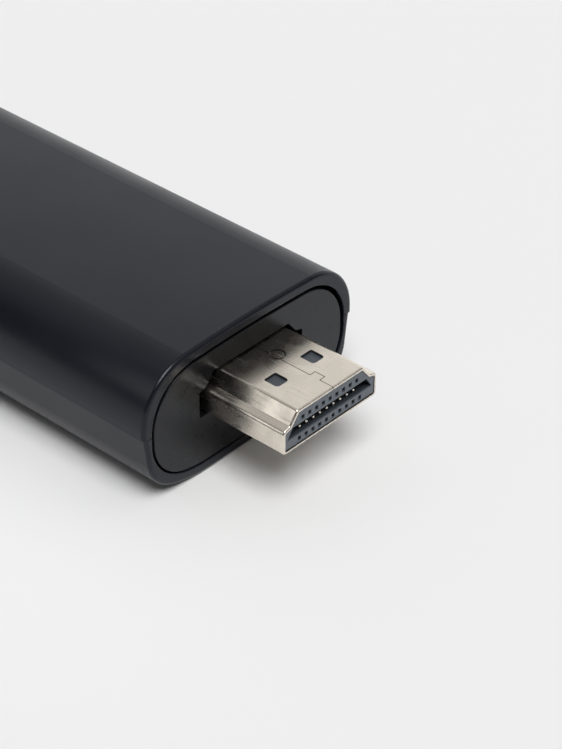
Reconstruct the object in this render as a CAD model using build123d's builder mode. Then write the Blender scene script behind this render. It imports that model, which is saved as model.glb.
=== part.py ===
"""Streaming stick: a slim two-part casing with a type A video plug at one end.

Millimetres. The stick lies flat: +X runs along it to the plug, +Y across it and +Z up.
The origin is on the resting face, in the middle of the overall length and width.
"""

import os
from math import copysign

from build123d import *

os.makedirs("parts", exist_ok=True)

# Overall size
overall_length = 92.4
body_width = 30.75
body_height = 15.8
plug_reach = 10.2

# Casing
wall = 1.5
bottom_corner_radius = 6.0
top_corner_radius = 6.4
crown_rise = 0.6
keel_width = 12.0
keel_rise = 2.6
far_end_radius = 3.0
mouth_edge_radius = 0.45
mouth_inner_radius = 0.12
mouth_rounding = 0.9
rim_width = 1.2
parting_rise = 0.45
parting_gap = 0.08
shell_step = 0.25
lower_lean = 0.85
lower_tightening = 1.2

# Lip of the upper shell inside the wall of the lower shell, with its snap hooks
lip_depth = 1.0
lip_thickness = 0.6
lip_root = 0.6
lip_clearance = 0.1
hook_length = 4.0
hook_height = 0.4
hook_reach = 0.2
hook_clearance = 0.12
hook_spacing = 22.0
hooks_per_side = 3

# End plate
plate_thickness = 1.8
plate_recess = 0.12
plate_gap = 0.25
plate_side_gap = 0.36
plate_settle = 0.18
plate_edge_radius = 0.12
opening_near_gap = 0.9
opening_far_gap = 0.4
opening_top_gap = 0.25
opening_bottom_gap = 0.06
collar_wall = 1.0
collar_length = 3.0
arm_length = 6.0
arm_width = 3.0
arm_thickness = 0.9
arm_gap = 0.3
latch_reach = 0.55
latch_length = 1.0
pocket_depth = 0.65
pocket_clearance = 0.2
upper_arm_spacing = 11.0
lower_arm_spacing = 12.0

# Type A video plug
plug_width = 13.9
plug_height = 4.45
plug_top_width = 9.7
plug_side_height = 2.75
plug_shelf_width = 11.9
plug_shelf_height = 3.05
plug_fold_radius = 0.5
plug_side_fold_radius = 0.6
plug_top_fold_radius = 0.38
plug_shelf_radius = 0.2
plug_sheet = 0.3
plug_offset = 0.425
plug_above_middle = 1.275
plug_inside_length = 6.1
plug_tip_radius = 0.2
leg_length = 2.6
leg_low = 0.6
leg_high = 2.3
window_length = 1.87
window_width = 1.72
window_front_radius = 0.42
window_rear_radius = 0.2
window_spacing = 5.32
window_back = 4.93
window_offset = 0.14
seam_width = 0.08
seam_offset = 0.33
seam_cut_depth = 0.6
interlock_diameter = 1.55
interlock_back = 7.74
interlock_offset = 0.76
interlock_depth = 0.15
interlock_groove = 0.16
jog_start_back = 3.04
jog_end_back = 1.78
jog_reach = 0.75

# Insulator and contacts of the plug
insulator_gap = 0.03
insulator_recess = 0.1
insulator_underside = 0.42
slot_low = 1.4
slot_high = 2.65
slot_low_width = 12.6
slot_high_width = 11.0
slot_depth = 9.0
contact_pitch = 1.0
upper_contacts = 9
lower_contacts = 10
contact_width = 0.3
contact_thickness = 0.14
contact_bend_radius = 0.12
groove_width = 0.5
groove_depth = 0.24
groove_setback = 3.0
upper_hole_height = 3.2
lower_hole_height = 0.88
hole_width = 0.46
hole_height = 0.53
hole_depth = 2.0
upper_tip_recess = 0.6
lower_tip_recess = 1.6
upper_bump_reach = 1.0
lower_bump_reach = 0.5
bump_length = 3.0
tip_length = 1.0
tip_return = 0.1
tip_bead_diameter = 0.32
tail_length = 1.9
tail_overhang = 0.1

# Main board
board_thickness = 1.0
board_side_gap = 0.9
board_end_gap = 1.1
board_plug_gap = 0.4
board_corner_radius = 1.0
leg_notch_clearance = 0.15
mount_hole_diameter = 1.6
mount_edge_distance = 1.9
screw_back = 4.0
rear_pin_setback = 2.4
middle_pin_setback = 25.6
boss_diameter = 3.6
pilot_diameter = 1.44
pilot_depth = 4.5
pin_diameter = 1.4
pin_height = 0.9
screw_diameter = 1.4
screw_length = 4.0
screw_head_diameter = 2.6
screw_head_height = 0.8
recess_length = 1.3
recess_width = 0.35
recess_depth = 0.4

# Chips, screening cans and cooling
processor_side = 13.0
processor_height = 1.1
memory_length = 8.0
memory_width = 12.0
memory_height = 1.0
storage_length = 11.5
storage_width = 13.0
storage_height = 1.0
power_chip_side = 5.0
power_chip_height = 0.9
chip_bevel = 0.12
dimple_radius = 0.35
dimple_depth = 0.06
dimple_inset = 1.1
chip_pad_thickness = 0.4
chip_pad_inset = 0.5
chip_can_gap = 0.4
power_chip_gap = 3.75
can_back = 24.5
upper_can_length = 30.0
lower_can_length = 27.0
can_side_gap = 1.7
can_sheet = 0.2
can_flange = 0.9
can_corner_radius = 0.6
lid_skirt = 0.9
lid_clearance = 0.05
pad_side = 14.0
spreader_length = 36.0
spreader_front_back = 5.5
spreader_width = 17.6
spreader_corner_radius = 1.2
upper_spreader_thickness = 1.0
lower_spreader_thickness = 1.2
ceiling_rib_depth = 1.1
floor_rib_height = 2.8
spreader_clearance = 0.05
spreader_flange_height = 1.0
spreader_flange_thickness = 1.0
stake_diameter = 1.6
stake_head_diameter = 2.6
stake_head_height = 0.45
stake_inset = 2.0
stake_clearance = 0.1

# Ribs of the shells
rib_thickness = 0.8
rib_width = 15.0
rib_spacing = 8.0
ceiling_ribs = 8
floor_ribs = 5
saddle_width = 7.0
saddle_setback = 0.4
saddle_clearance = 0.05
hold_down_length = 6.0
hold_down_thickness = 0.8
hold_down_clearance = 0.1

# Small power socket on the near side
socket_setback = 8.1
socket_width = 7.5
socket_narrow_width = 5.9
socket_height = 2.6
socket_depth = 5.6
socket_sheet = 0.28
socket_fold_radius = 0.5
socket_recess = 0.6
socket_flare_length = 0.6
socket_flare_angle = 30.0
socket_gap_x = 0.6
socket_gap_z = 0.45
socket_hole_radius = 0.9
tongue_width = 3.8
tongue_thickness = 0.6
tongue_length = 4.3
tongue_base_length = 1.0
socket_contact_pitch = 0.65
socket_contacts = 5
socket_contact_width = 0.32
socket_contact_thickness = 0.12

# Radio, antennas and status light
radio_setback = 16.0
radio_offset = 3.0
radio_side = 12.0
radio_board_thickness = 0.6
radio_cover_side = 11.0
radio_cover_height = 1.3
antenna_setback = 1.9
antenna_offset = 5.5
antenna_length = 6.4
antenna_width = 2.0
antenna_height = 0.9
lamp_setback = 19.6
lamp_length = 1.6
lamp_depth = 0.8
lamp_height = 0.7
lamp_edge_distance = 0.5
pipe_diameter = 1.4
pipe_clearance = 0.08
pipe_flange_diameter = 1.8
pipe_flange_thickness = 0.5
pipe_flange_setback = 0.85
pipe_rise = 0.95

# Small board parts: length, width and height of one, and where its row stands
block_bevel = 0.08
inductor_size = (3.0, 3.0, 1.5)
inductors = 3
inductor_pitch = 4.2
inductor_distance = 6.5
inductor_offset = -3.8
large_capacitor_size = (3.2, 1.6, 1.6)
large_capacitors_per_side = 2
large_capacitor_pitch = 2.8
large_capacitor_offset = 6.6
small_capacitor_size = (1.0, 0.5, 0.5)
small_capacitor_count = 8
small_capacitor_pitch = 1.6
small_capacitor_distance = 2.6
resistor_size = (1.0, 0.5, 0.35)
resistor_count = 8
resistor_pitch = 1.3
resistor_distance = 1.6
surge_array_size = (2.5, 1.0, 0.6)
surge_array_count = 4
surge_array_pitch = 2.6
surge_array_distance = 4.4
system_crystal_size = (3.2, 2.5, 0.8)
system_crystal_distance = 2.8
system_crystal_offset = 9.0
radio_crystal_size = (2.0, 1.6, 0.6)
radio_crystal_distance = 1.8
radio_crystal_offset = 9.6

# Places that follow from the sizes above
body_length = overall_length - plug_reach
far_x = -overall_length / 2
tip_x = overall_length / 2
mouth_x = far_x + body_length
half_width = body_width / 2
wing_span = half_width - keel_width / 2
wing_radius = (wing_span**2 + keel_rise**2) / (2 * keel_rise)
crown_radius = (half_width**2 + crown_rise**2) / (2 * crown_rise)
floor_z = wall
ceiling_z = body_height - wall
parting_z = body_height / 2 + parting_rise
upper_parting = Plane.XY.offset(parting_z + parting_gap / 2)
lower_parting = Plane.XY.offset(parting_z - parting_gap / 2)
plate_front_x = mouth_x - plate_recess
plate_back_x = plate_front_x - plate_thickness
lip_end_x = plate_back_x - wall
side_cut_y = half_width - 2 * wall
side_cut_depth = 3 * wall
plug_floor = body_height / 2 + plug_above_middle - plug_height / 2
plug_rear_x = mouth_x - plug_inside_length
insulator_front_x = tip_x - insulator_recess
board_middle_z = body_height / 2 + plug_above_middle
board_top = board_middle_z + board_thickness / 2
board_bottom = board_middle_z - board_thickness / 2
board_front_x = plug_rear_x - board_plug_gap
board_rear_x = far_x + wall + board_end_gap
board_half_width = half_width - wall - board_side_gap
can_x = board_front_x - can_back
can_width = 2 * (board_half_width - can_side_gap)
upper_can_height = processor_height + chip_pad_thickness
lower_can_height = storage_height + chip_pad_thickness
upper_spreader_top = ceiling_z - ceiling_rib_depth - spreader_clearance
upper_spreader_bottom = upper_spreader_top - upper_spreader_thickness
lower_spreader_bottom = floor_z + floor_rib_height + spreader_clearance
lower_spreader_top = lower_spreader_bottom + lower_spreader_thickness
spreader_front_x = board_front_x - spreader_front_back
spreader_x = spreader_front_x - spreader_length / 2
stake_spacing = spreader_length - 2 * stake_inset
socket_x = board_rear_x + socket_setback
socket_mouth_y = -half_width + socket_recess
socket_middle_z = board_bottom - socket_height / 2
lamp_x = board_rear_x + lamp_setback
lamp_front_y = -board_half_width + lamp_edge_distance
pipe_z = board_top + pipe_rise

mount_y = board_half_width - mount_edge_distance
screw_places = [
    (board_front_x - screw_back, -mount_y),
    (board_front_x - screw_back, mount_y),
]
pin_places = [
    (board_rear_x + middle_pin_setback, -mount_y),
    (board_rear_x + rear_pin_setback, mount_y),
]


def write_piece(piece, name):
    """Label a finished piece and write it under its own name."""
    piece.part.label = name
    export_step(piece.part, f"parts/{name}.step")


def casing_section(x, inset=0.0, step=0.0, lift=0.0, rounding=0.0, lean=0.0):
    """Cross-section of the casing at x, drawn in by inset all round and by step at the sides.

    The underside is a flat keel with a wide arc up to each side, and the top is a low crown.
    From the parting down, each side leans in by as much as lean at its foot.
    """
    side = half_width - inset - step
    keel = keel_width / 2
    foot_side = side - lean
    wing_drop = ((wing_radius - inset) ** 2 - (foot_side - keel) ** 2) ** 0.5
    foot = wing_radius - wing_drop
    crown_drop = ((crown_radius - inset) ** 2 - side**2) ** 0.5
    shoulder = body_height - crown_radius + crown_drop
    place = Plane(origin=(x, 0, lift), x_dir=(0, 1, 0), z_dir=(1, 0, 0))
    with BuildSketch(place) as section:
        with BuildLine():
            Line((-keel, inset), (keel, inset))
            TangentArc((keel, inset), (foot_side, foot), tangent=(1, 0))
            Polyline((foot_side, foot), (side, parting_z), (side, shoulder))
            ThreePointArc((side, shoulder), (0, body_height - inset), (-side, shoulder))
            Polyline((-side, shoulder), (-side, parting_z), (-foot_side, foot))
            TangentArc((-keel, inset), (-foot_side, foot), tangent=(-1, 0))
        make_face()
        fillet(section.vertices().group_by(Axis.Y)[1], bottom_corner_radius + rounding - inset)
        fillet(section.vertices().group_by(Axis.Y)[-1], top_corner_radius + rounding - inset)
    return section.sketch


def casing_core(inset, end_x=mouth_x, **changes):
    """Solid that fills the casing to within inset of its outer face, round at the far end."""
    start_x = far_x + inset
    with BuildPart() as core:
        extrude(casing_section(start_x, inset, **changes), amount=end_x - start_x)
        fillet(core.faces().sort_by(Axis.X)[0].edges(), far_end_radius - inset)
    return core.part


def hollow_casing(**changes):
    """Whole casing as one hollow body, closed at the far end and open at the mouth."""
    with BuildPart() as casing:
        add(casing_core(0.0, **changes))
        fillet(casing.faces().sort_by(Axis.X)[-1].edges(), mouth_edge_radius)
        add(casing_core(wall, end_x=mouth_x + wall), mode=Mode.SUBTRACT)
        mouth = casing_section(plate_back_x, rim_width, rounding=mouth_rounding)
        extrude(mouth, amount=plate_thickness + wall, mode=Mode.SUBTRACT)
        rim = casing.faces().sort_by(Axis.X)[-1]
        fillet(rim.inner_wires()[0].edges(), mouth_inner_radius)
    return casing.part


def plug_plane(x):
    """Plane across the plug at x, with its origin in the middle of the plug's underside."""
    return Plane(origin=(x, plug_offset, plug_floor), x_dir=(0, 1, 0), z_dir=(1, 0, 0))


def plug_outline(near, far, top, bottom):
    """Corner points of the plug's outline, let out by a gap on each side."""
    half = plug_width / 2
    shelf = plug_shelf_width / 2
    narrow = plug_top_width / 2
    return [
        (-half - near, -bottom),
        (half + far, -bottom),
        (half + far, plug_side_height + top),
        (shelf + far, plug_shelf_height + top),
        (narrow + far, plug_height + top),
        (-narrow - near, plug_height + top),
        (-shelf - near, plug_shelf_height + top),
        (-half - near, plug_side_height + top),
    ]


def plug_section(x, inset=0.0):
    """Outline of the plug at x, drawn in by inset: wide below, narrow above, a shelf between."""
    with BuildSketch(plug_plane(x)) as section:
        with BuildLine():
            Polyline(*plug_outline(0, 0, 0, 0), close=True)
        make_face()
        levels = section.vertices().group_by(Axis.Y)
        fillet(levels[0], plug_fold_radius)
        fillet(section.vertices().group_by(Axis.Y)[-3], plug_side_fold_radius)
        fillet(section.vertices().group_by(Axis.Y)[-1], plug_top_fold_radius)
        fillet(section.vertices().group_by(Axis.Y)[-3], plug_shelf_radius)
        if inset:
            offset(amount=-inset)
    return section.sketch


def rows(count, pitch):
    """Evenly spaced places about zero."""
    return [(index - (count - 1) / 2) * pitch for index in range(count)]


# Opening for the power socket, cut through the near side of both shells
with BuildPart() as socket_opening:
    with BuildSketch(Plane.XZ.offset(side_cut_y)):
        with Locations((socket_x, socket_middle_z)):
            RectangleRounded(
                socket_width + 2 * socket_gap_x,
                socket_height + 2 * socket_gap_z,
                socket_hole_radius,
            )
    extrude(amount=side_cut_depth)

# Upper shell: half casing with its lip, snap hooks, ceiling ribs, spreader stakes and hold-downs
with BuildPart() as lip:
    add(casing_core(wall - lip_thickness, end_x=lip_end_x))
    add(casing_core(wall), mode=Mode.SUBTRACT)
    split(bisect_by=Plane.XY.offset(parting_z - lip_depth), keep=Keep.TOP)
    split(bisect_by=Plane.XY.offset(parting_z + lip_root), keep=Keep.BOTTOM)
    lip_face_y = half_width - wall + lip_thickness
    hook_z = parting_z - lip_depth + hook_height
    for x in rows(hooks_per_side, hook_spacing):
        for side in (-1, 1):
            with Locations((x, side * lip_face_y, hook_z)):
                Box(hook_length, 2 * hook_reach, hook_height)

with BuildPart() as upper_features:
    front_rib_x = spreader_front_x - stake_inset
    with BuildSketch(Plane.XY.offset(ceiling_z - ceiling_rib_depth)):
        with Locations([(front_rib_x - index * rib_spacing, 0) for index in range(ceiling_ribs)]):
            Rectangle(rib_thickness, rib_width)
    extrude(amount=body_height)
    with BuildSketch(Plane.XY.offset(upper_spreader_bottom - stake_head_height)):
        with Locations((spreader_x, 0)):
            with GridLocations(stake_spacing, 0, 2, 1):
                Circle(stake_diameter / 2)
    extrude(amount=body_height)
    with BuildSketch(Plane.XY.offset(upper_spreader_bottom - stake_head_height)):
        with Locations((spreader_x, 0)):
            with GridLocations(stake_spacing, 0, 2, 1):
                Circle(stake_head_diameter / 2)
    extrude(amount=stake_head_height)
    with BuildSketch(Plane.XY.offset(board_top + hold_down_clearance)):
        for hold_x in (pin_places[0][0], board_rear_x + hold_down_length):
            for side in (-1, 1):
                with Locations((hold_x, side * (board_half_width - hold_down_thickness))):
                    Rectangle(hold_down_length, hold_down_thickness)
    extrude(amount=body_height)
    with BuildSketch(Plane.XY.offset(plug_floor + plug_height + saddle_clearance)):
        with Locations((plug_rear_x + saddle_setback, plug_offset)):
            Rectangle(rib_thickness, upper_arm_spacing - 2 * arm_width)
    extrude(amount=body_height)
    add(casing_core(wall / 2), mode=Mode.INTERSECT)

with BuildPart() as upper_shell:
    add(hollow_casing())
    split(bisect_by=upper_parting, keep=Keep.TOP)
    add(lip.part)
    add(upper_features.part)
    pocket_x = plate_back_x - arm_length + latch_length / 2
    with Locations((pocket_x, 0, ceiling_z)):
        with GridLocations(0, upper_arm_spacing, 1, 2):
            Box(
                latch_length + 2 * pocket_clearance,
                arm_width + 2 * pocket_clearance,
                2 * pocket_depth,
                mode=Mode.SUBTRACT,
            )
    add(socket_opening.part, mode=Mode.SUBTRACT)
    with BuildSketch(Plane.XZ.offset(side_cut_y)):
        with Locations((lamp_x, pipe_z)):
            Circle(pipe_diameter / 2 + pipe_clearance)
    extrude(amount=side_cut_depth, mode=Mode.SUBTRACT)
write_piece(upper_shell, "upper_shell")

# Lower shell: half casing with bosses, pins, spreader ribs, plug saddle and socket cradle
with BuildPart() as lower_features:
    with BuildSketch(Plane.XY):
        with Locations(screw_places + pin_places):
            Circle(boss_diameter / 2)
    extrude(amount=board_bottom)
    with BuildSketch(Plane.XY.offset(board_bottom)):
        with Locations(pin_places):
            Circle(pin_diameter / 2)
    extrude(amount=board_thickness + pin_height)
    with BuildSketch(Plane.XY.offset(board_bottom)):
        with Locations(screw_places):
            Circle(pilot_diameter / 2)
    extrude(amount=-pilot_depth, mode=Mode.SUBTRACT)
    with BuildSketch(Plane.XY):
        with Locations((spreader_x, 0)):
            with GridLocations(rib_spacing, 0, floor_ribs, 1):
                Rectangle(rib_thickness, rib_width)
    extrude(amount=floor_z + floor_rib_height)
    with BuildSketch(Plane.XY):
        with Locations((spreader_x, 0)):
            with GridLocations(stake_spacing, 0, 2, 1):
                Circle(stake_diameter / 2)
    extrude(amount=lower_spreader_top + stake_head_height)
    with BuildSketch(Plane.XY):
        with Locations((plug_rear_x + saddle_setback, plug_offset)):
            Rectangle(rib_thickness, saddle_width)
    extrude(amount=plug_floor - saddle_clearance)
    with BuildSketch(Plane.XY):
        with Locations((socket_x, -board_half_width + rib_thickness)):
            Rectangle(socket_narrow_width, rib_thickness)
        with Locations((socket_x, -board_half_width + socket_depth / 2)):
            Rectangle(socket_narrow_width, rib_thickness)
    extrude(amount=board_bottom - socket_height - saddle_clearance)
    add(casing_core(wall / 2), mode=Mode.INTERSECT)

with BuildPart() as lip_rebate:
    add(casing_core(wall - lip_thickness - lip_clearance, end_x=lip_end_x + lip_clearance))
    split(bisect_by=Plane.XY.offset(parting_z - lip_depth - lip_clearance), keep=Keep.TOP)
    for x in rows(hooks_per_side, hook_spacing):
        for side in (-1, 1):
            with Locations((x, side * lip_face_y, hook_z)):
                Box(
                    hook_length + 2 * hook_clearance,
                    2 * (hook_reach + hook_clearance),
                    hook_height + 2 * hook_clearance,
                )

with BuildPart() as lower_shell:
    add(hollow_casing(step=shell_step, lean=lower_lean, rounding=-lower_tightening))
    split(bisect_by=lower_parting, keep=Keep.BOTTOM)
    add(lip_rebate.part, mode=Mode.SUBTRACT)
    add(lower_features.part)
    with Locations((pocket_x, 0, floor_z)):
        with GridLocations(0, lower_arm_spacing, 1, 2):
            Box(
                latch_length + 2 * pocket_clearance,
                arm_width + 2 * pocket_clearance,
                2 * pocket_depth,
                mode=Mode.SUBTRACT,
            )
    add(socket_opening.part, mode=Mode.SUBTRACT)
write_piece(lower_shell, "lower_shell")

# End plate with the opening for the plug, a collar behind it and four snap arms
with BuildPart() as end_plate:
    plate_face = casing_section(
        plate_back_x,
        rim_width + plate_gap,
        plate_side_gap - plate_gap,
        -plate_settle,
        mouth_rounding,
    )
    extrude(plate_face, amount=plate_thickness)
    fillet(end_plate.faces().sort_by(Axis.X)[-1].edges(), plate_edge_radius)
    with BuildSketch(plug_plane(plate_back_x)):
        with BuildLine():
            Polyline(
                *plug_outline(
                    opening_near_gap + collar_wall,
                    opening_far_gap + collar_wall,
                    opening_top_gap + collar_wall,
                    opening_bottom_gap + collar_wall,
                ),
                close=True,
            )
        make_face()
    extrude(amount=-collar_length)
    upper_arm_z = ceiling_z - arm_gap - arm_thickness / 2
    lower_arm_z = floor_z + arm_gap + arm_thickness / 2
    arm_back_x = plate_back_x - arm_length
    for arm_z, spacing, side in (
        (upper_arm_z, upper_arm_spacing, 1),
        (lower_arm_z, lower_arm_spacing, -1),
    ):
        with BuildSketch(Plane.YZ.offset(arm_back_x)):
            with Locations((0, arm_z)):
                with GridLocations(spacing, 0, 2, 1):
                    Rectangle(arm_width, arm_thickness)
        extrude(amount=arm_length)
        latch_z = arm_z + side * (arm_thickness + latch_reach) / 2
        with Locations((arm_back_x + latch_length / 2, 0, latch_z)):
            with GridLocations(0, spacing, 1, 2):
                Box(latch_length, arm_width, latch_reach)
    with BuildSketch(plug_plane(plate_front_x)) as plug_opening:
        with BuildLine():
            Polyline(
                *plug_outline(
                    opening_near_gap, opening_far_gap, opening_top_gap, opening_bottom_gap
                ),
                close=True,
            )
        make_face()
        fillet(plug_opening.vertices(), plug_shelf_radius)
    extrude(amount=plate_thickness, both=True, mode=Mode.SUBTRACT)
    opening_depth = plate_thickness + 2 * collar_length
    extrude(plug_opening.sketch, amount=-opening_depth, mode=Mode.SUBTRACT)
write_piece(end_plate, "end_plate")

# Plug shell: one folded sheet with a butt seam along the top, latch windows and board legs
with BuildPart() as plug_shell:
    extrude(plug_section(plug_rear_x), amount=tip_x - plug_rear_x)
    fillet(plug_shell.faces().sort_by(Axis.X)[-1].edges(), plug_tip_radius)
    extrude(
        plug_section(plug_rear_x, plug_sheet), amount=tip_x - plug_rear_x, mode=Mode.SUBTRACT
    )
    with BuildSketch(Plane.XY.offset(plug_floor)) as windows:
        with Locations((tip_x - window_back, plug_offset + window_offset)):
            with GridLocations(0, window_spacing, 1, 2):
                Rectangle(window_length, window_width)
        fillet(windows.vertices().group_by(Axis.X)[-1], window_front_radius)
        fillet(windows.vertices().group_by(Axis.X)[0], window_rear_radius)
    extrude(amount=plug_height, mode=Mode.SUBTRACT)
    seam_y = plug_offset + seam_offset
    jog_y = seam_y + jog_reach
    ring_x = tip_x - interlock_back
    ring_y = plug_offset + interlock_offset
    ring_radius = interlock_diameter / 2
    ring_chord = (ring_radius**2 - (ring_y - seam_y) ** 2) ** 0.5
    with BuildSketch(Plane.XY.offset(plug_floor + plug_height - seam_cut_depth)):
        with BuildLine():
            Line((plug_rear_x - seam_width, seam_y), (ring_x - ring_chord, seam_y))
            ThreePointArc(
                (ring_x - ring_chord, seam_y),
                (ring_x, ring_y + ring_radius),
                (ring_x + ring_chord, seam_y),
            )
            Polyline(
                (ring_x + ring_chord, seam_y),
                (tip_x - jog_start_back, seam_y),
                (tip_x - jog_start_back, jog_y),
                (tip_x - jog_end_back, jog_y),
                (tip_x - jog_end_back, seam_y),
                (tip_x + seam_width, seam_y),
            )
        trace(line_width=seam_width)
    extrude(amount=seam_cut_depth + plug_sheet, mode=Mode.SUBTRACT)
    with BuildSketch(Plane.XY.offset(plug_floor + plug_height - interlock_depth)):
        with Locations((ring_x, ring_y)):
            Circle(ring_radius + interlock_groove / 2)
            Circle(ring_radius - interlock_groove / 2, mode=Mode.SUBTRACT)
    extrude(amount=interlock_depth + seam_width, mode=Mode.SUBTRACT)
    with BuildSketch(plug_plane(plug_rear_x)):
        with Locations((0, (leg_low + leg_high) / 2)):
            with GridLocations(plug_width - plug_sheet, 0, 2, 1):
                Rectangle(plug_sheet, leg_high - leg_low)
    extrude(amount=-leg_length)
write_piece(plug_shell, "plug_shell")

# Plug insulator: moulding with the slot, the contact grooves and the core holes in its face
insulator_rear_x = plug_rear_x + insulator_recess
insulator_length = insulator_front_x - insulator_rear_x
upper_rows = rows(upper_contacts, contact_pitch)
lower_rows = rows(lower_contacts, contact_pitch)
with BuildPart() as plug_insulator:
    extrude(
        plug_section(insulator_rear_x, plug_sheet + insulator_gap), amount=insulator_length
    )
    split(bisect_by=Plane.XY.offset(plug_floor + insulator_underside), keep=Keep.TOP)
    with BuildSketch(plug_plane(insulator_front_x)):
        with BuildLine():
            Polyline(
                (-slot_low_width / 2, slot_low),
                (slot_low_width / 2, slot_low),
                (slot_high_width / 2, slot_high),
                (-slot_high_width / 2, slot_high),
                close=True,
            )
        make_face()
    extrude(amount=-slot_depth, mode=Mode.SUBTRACT)
    with BuildSketch(plug_plane(insulator_front_x - groove_setback)):
        with Locations([(y, slot_high) for y in upper_rows]):
            Rectangle(groove_width, 2 * groove_depth)
        with Locations([(y, slot_low) for y in lower_rows]):
            Rectangle(groove_width, 2 * groove_depth)
    extrude(amount=-insulator_length, mode=Mode.SUBTRACT)
    with BuildSketch(plug_plane(insulator_front_x)):
        with Locations([(y, upper_hole_height) for y in upper_rows]):
            Rectangle(hole_width, hole_height)
        with Locations([(y, lower_hole_height) for y in lower_rows]):
            Rectangle(hole_width, hole_height)
    extrude(amount=-hole_depth, mode=Mode.SUBTRACT)
write_piece(plug_insulator, "plug_insulator")


def contact_strip(seat, tail_z, tip_recess, bump_reach):
    """One contact: tail on the board, beam in its groove, bump in the slot, bead at the tip."""
    level = plug_floor + seat
    tip = tip_x - tip_recess
    bump = level + bump_reach
    end_z = bump - copysign(tip_return, bump_reach)
    route = [
        (board_front_x - tail_length, tail_z),
        (board_front_x + tail_overhang, tail_z),
        (plug_rear_x, level),
        (tip - tip_length - bump_length, level),
        (tip - tip_length, bump),
        (tip, end_z),
    ]
    with BuildPart() as strip:
        with BuildSketch(Plane.XZ.offset(-plug_offset)):
            with BuildLine():
                FilletPolyline(*route, radius=contact_bend_radius)
            trace(line_width=contact_thickness)
        extrude(amount=contact_width / 2, both=True)
        with Locations((tip, plug_offset, end_z)):
            Sphere(tip_bead_diameter / 2)
    return strip.part


contact_seat = groove_depth / 2
upper_strip = contact_strip(
    slot_high + contact_seat,
    board_top + contact_thickness / 2,
    upper_tip_recess,
    -upper_bump_reach,
)
lower_strip = contact_strip(
    slot_low - contact_seat,
    board_bottom - contact_thickness / 2,
    lower_tip_recess,
    lower_bump_reach,
)
with BuildPart() as plug_contacts_upper:
    with Locations([(0, y, 0) for y in upper_rows]):
        add(upper_strip)
write_piece(plug_contacts_upper, "plug_contacts_upper")

with BuildPart() as plug_contacts_lower:
    with Locations([(0, y, 0) for y in lower_rows]):
        add(lower_strip)
write_piece(plug_contacts_lower, "plug_contacts_lower")

# Main board with its mounting holes and the edge notches for the plug's legs
board_length = board_front_x - board_rear_x
board_x = (board_front_x + board_rear_x) / 2
with BuildPart() as circuit_board:
    with BuildSketch(Plane.XY.offset(board_bottom)):
        with Locations((board_x, 0)):
            RectangleRounded(board_length, 2 * board_half_width, board_corner_radius)
        with Locations(screw_places + pin_places):
            Circle(mount_hole_diameter / 2, mode=Mode.SUBTRACT)
        with Locations((board_front_x, plug_offset)):
            with GridLocations(0, plug_width - plug_sheet, 1, 2):
                Rectangle(
                    2 * (leg_length - board_plug_gap + leg_notch_clearance),
                    plug_sheet + 2 * leg_notch_clearance,
                    mode=Mode.SUBTRACT,
                )
    extrude(amount=board_thickness)
write_piece(circuit_board, "circuit_board")

# Board screws
with BuildPart() as board_screws:
    with BuildSketch(Plane.XY.offset(board_top - screw_length)):
        with Locations(screw_places):
            Circle(screw_diameter / 2)
    extrude(amount=screw_length)
    with BuildSketch(Plane.XY.offset(board_top)):
        with Locations(screw_places):
            Circle(screw_head_diameter / 2)
    extrude(amount=screw_head_height)
    head_top = board_screws.faces().sort_by(Axis.Z)[-2:]
    chamfer(head_top.edges(), chip_bevel)
    with BuildSketch(Plane.XY.offset(board_top + screw_head_height)):
        with Locations(screw_places):
            Rectangle(recess_length, recess_width)
            Rectangle(recess_width, recess_length)
    extrude(amount=-recess_depth, mode=Mode.SUBTRACT)
write_piece(board_screws, "board_screws")


def make_chip(name, x, y, length, width, height, side):
    """Chip on one side of the board: a flat block with bevelled outer edges and a dimple."""
    face_z = board_top if side > 0 else board_bottom
    with BuildPart() as chip:
        with BuildSketch(Plane.XY.offset(face_z)):
            with Locations((x, y)):
                Rectangle(length, width)
        extrude(amount=side * height)
        outer_face = chip.faces().sort_by(Axis.Z)[-1 if side > 0 else 0]
        chamfer(outer_face.edges(), chip_bevel)
        with BuildSketch(Plane.XY.offset(face_z + side * height)):
            with Locations((x - length / 2 + dimple_inset, y + width / 2 - dimple_inset)):
                Circle(dimple_radius)
        extrude(amount=-side * dimple_depth, mode=Mode.SUBTRACT)
    write_piece(chip, name)


can_inner = can_width - 2 * can_sheet
processor_x = can_x + upper_can_length / 2 - can_flange - processor_side / 2 - chip_can_gap
storage_x = can_x + lower_can_length / 2 - can_flange - storage_length / 2 - chip_can_gap
upper_memory_x = can_x - upper_can_length / 2 + can_flange + memory_length / 2 + chip_can_gap
lower_memory_x = can_x - lower_can_length / 2 + can_flange + memory_length / 2 + chip_can_gap
power_chip_x = socket_x + socket_width / 2 + power_chip_gap + power_chip_side / 2
make_chip("processor", processor_x, 0, processor_side, processor_side, processor_height, 1)
make_chip("memory_chip_upper", upper_memory_x, 0, memory_length, memory_width, memory_height, 1)
make_chip("memory_chip_lower", lower_memory_x, 0, memory_length, memory_width, memory_height, -1)
make_chip("storage_chip", storage_x, 0, storage_length, storage_width, storage_height, -1)
make_chip("power_chip", power_chip_x, 0, power_chip_side, power_chip_side, power_chip_height, -1)


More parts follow.
